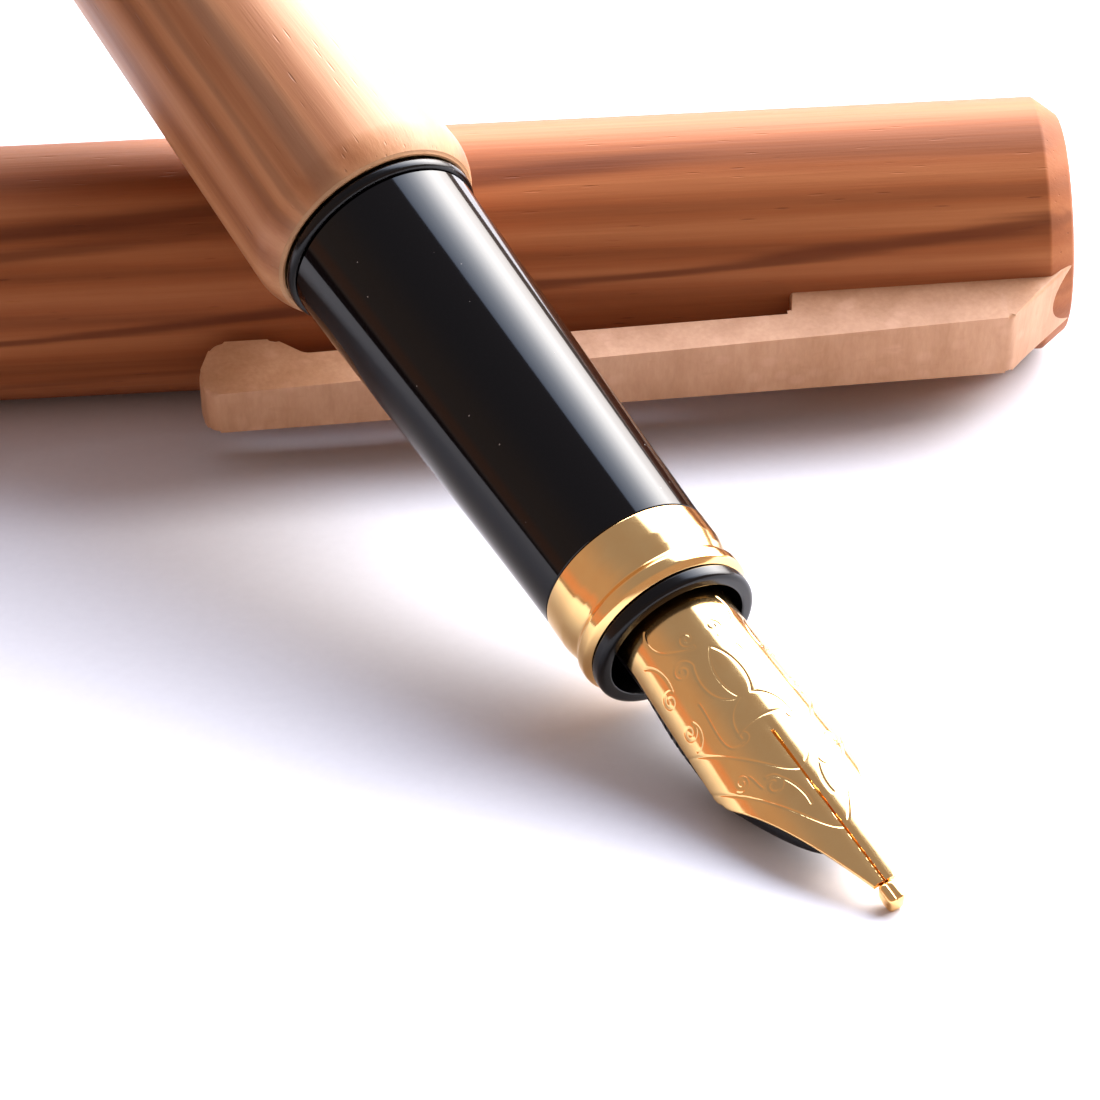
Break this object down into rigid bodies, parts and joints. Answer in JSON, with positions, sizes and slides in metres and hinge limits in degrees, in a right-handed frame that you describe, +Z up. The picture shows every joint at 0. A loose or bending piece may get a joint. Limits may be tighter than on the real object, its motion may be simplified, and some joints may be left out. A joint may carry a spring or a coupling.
{
  "type": "fountain pen with wooden case",
  "caption": "Wooden fountain pen with a black grip, gold ring and nib, lying across its clipped wooden case; the pen pulls apart to show its ink converter.",
  "frame": {"origin": "centre of the whole object's footprint, on the table", "axes": "+X along the case toward its closed end, +Y from the nib's side to the barrel's side, +Z up"},
  "size_m": [0.075, 0.105, 0.0452],
  "materials": {
    "case_wood": "satin oiled cherry-red wood with dark grain streaks",
    "barrel_wood": "satin tan wood with a grey-brown streak",
    "clip_wood": "satin pale maple with ray flecks",
    "black_gloss": "polished",
    "black_matte": "moulded",
    "gold": "polished gold plate",
    "brass": "turned",
    "chrome": "polished",
    "clear": "clear moulded plastic",
    "seal": "matt"
  },
  "bodies": {
    "case": {"case_tube": "case_wood", "case_liner": "brass", "case_inner_cap": "black_matte", "case_clip_root": "clip_wood"},
    "clip_arm": {"case_clip_arm": "clip_wood"},
    "nib_unit": {"nib": "gold", "nib_tip": "gold", "feed": "black_matte", "nib_housing": "black_gloss"},
    "section": {"section_grip": "black_gloss", "section_ring": "gold", "section_rim": "black_gloss"},
    "barrel": {"barrel_tube": "barrel_wood", "barrel_bush": "brass"},
    "converter": {"converter_nozzle": "black_matte", "converter_tube": "clear", "converter_band": "chrome"},
    "knob": {"converter_knob": "black_matte"},
    "piston": {"piston_head": "black_matte", "piston_seal": "seal", "piston_rod": "black_matte"}
  },
  "joints": [
    {"name": "clip_flex", "type": "hinge", "parent": "case", "child": "clip_arm", "pos_m": [0.02194, -0.00623, 0.00449], "axis": [0, -0.2588, 0.9659], "range_deg": [0, 2.2], "stiffness_Nm_per_rad": 0.6},
    {"name": "pen_lift", "type": "slide", "parent": "case", "child": "nib_unit", "axis": [0, 0, 1], "range_m": [0, 0.06]},
    {"name": "section_draw", "type": "slide", "parent": "nib_unit", "child": "section", "axis": [-0.4595, 0.8155, 0.3518], "range_m": [0, 0.024]},
    {"name": "barrel_draw", "type": "slide", "parent": "section", "child": "barrel", "axis": [-0.4595, 0.8155, 0.3518], "range_m": [0, 0.06]},
    {"name": "converter_draw", "type": "slide", "parent": "nib_unit", "child": "converter", "axis": [-0.4595, 0.8155, 0.3518], "range_m": [0, 0.006]},
    {"name": "knob_turn", "type": "hinge", "parent": "converter", "child": "knob", "pos_m": [-0.01849, 0.02221, 0.02961], "axis": [-0.4595, 0.8155, 0.3518], "range_deg": [0, 2160]},
    {"name": "piston_travel", "type": "slide", "parent": "converter", "child": "piston", "axis": [-0.4595, 0.8155, 0.3518], "range_m": [0, 0.015]}
  ],
  "couplings": [
    {"joint": "knob_turn", "follows": "piston_travel", "rad_per_m": 2513.3}
  ]
}
